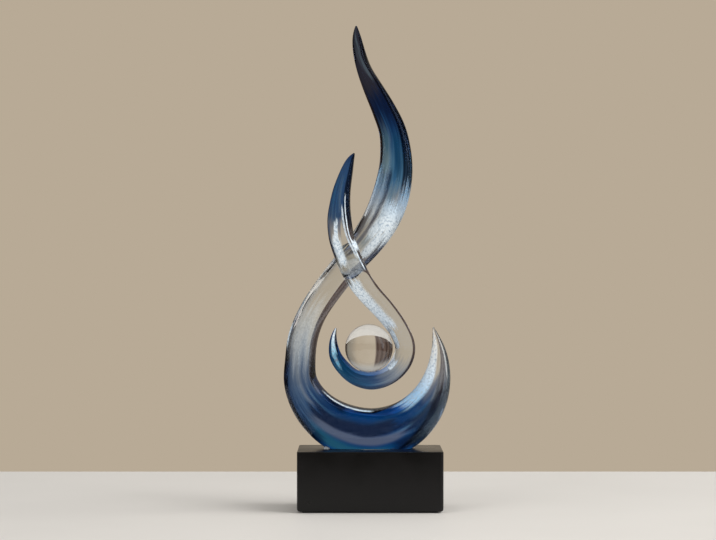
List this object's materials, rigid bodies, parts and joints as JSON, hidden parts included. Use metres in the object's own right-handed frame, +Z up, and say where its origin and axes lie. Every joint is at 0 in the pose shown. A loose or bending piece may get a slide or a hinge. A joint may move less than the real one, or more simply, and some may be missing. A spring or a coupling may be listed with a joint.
{
  "type": "abstract sculpture",
  "caption": "Table-top abstract sculpture: clear and blue resin strands rise like flames from a crescent and hold a crystal ball, on a black block.",
  "frame": {"origin": "middle of the flat underside, where the felt pad rests on the table", "axes": "+X to the viewer's right along the block's long side, +Y from the front to the back, +Z up from the table"},
  "size_m": [0.1394, 0.07, 0.4027],
  "materials": {
    "felt": "black felt, matt",
    "black_block": "black cast resin, satin",
    "deep_blue_resin": "clear cast resin, polished, with streaks of navy and blue dye that fade to clear",
    "pale_blue_resin": "clear cast resin, polished, clear in the middle and blue at both tips",
    "crystal": "clear polished crystal glass",
    "adhesive": "set clear adhesive, slightly milky"
  },
  "bodies": {
    "root": {"felt_pad": "felt", "base_block": "black_block", "foot_bond": "adhesive", "large_strand": "deep_blue_resin", "crossing_bond": "adhesive", "small_strand": "pale_blue_resin", "ball_bond": "adhesive", "crystal_ball": "crystal"}
  },
  "joints": []
}
